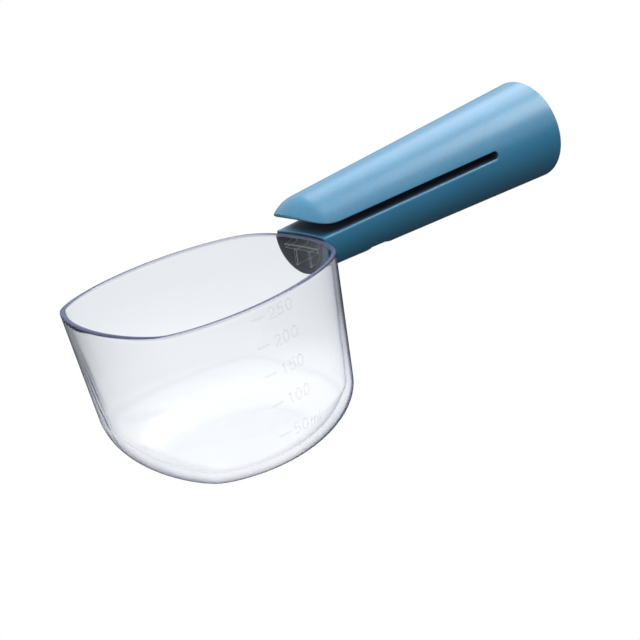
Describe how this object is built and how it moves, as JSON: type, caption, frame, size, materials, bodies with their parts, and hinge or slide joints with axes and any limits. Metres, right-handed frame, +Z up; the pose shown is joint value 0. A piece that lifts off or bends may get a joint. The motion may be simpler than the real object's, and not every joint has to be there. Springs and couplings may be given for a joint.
{
  "type": "feed scoop",
  "caption": "Clear measuring cup scoop with a hollow tapered handle whose sprung front jaw clips a feed bag shut.",
  "frame": {"origin": "centre of the flat on the underside of the cup", "axes": "+Z up out of the cup's mouth, +X from the cup towards the handle's rear end"},
  "size_m": [0.1972, 0.0833, 0.0809],
  "materials": {
    "clear_plastic": "clear gloss",
    "blue_plastic": "satin"
  },
  "bodies": {
    "scoop": {"cup_bowl": "clear_plastic", "volume_marks": "clear_plastic", "cup_tongue": "clear_plastic", "handle_body": "blue_plastic", "rear_cap": "blue_plastic"},
    "jaw": {"upper_jaw": "blue_plastic"}
  },
  "joints": [
    {"name": "jaw_open", "type": "hinge", "parent": "scoop", "child": "jaw", "pos_m": [0.12, 0, 0.0787], "axis": [0, 1, 0], "range_deg": [0, 6], "stiffness_Nm_per_rad": 5}
  ]
}
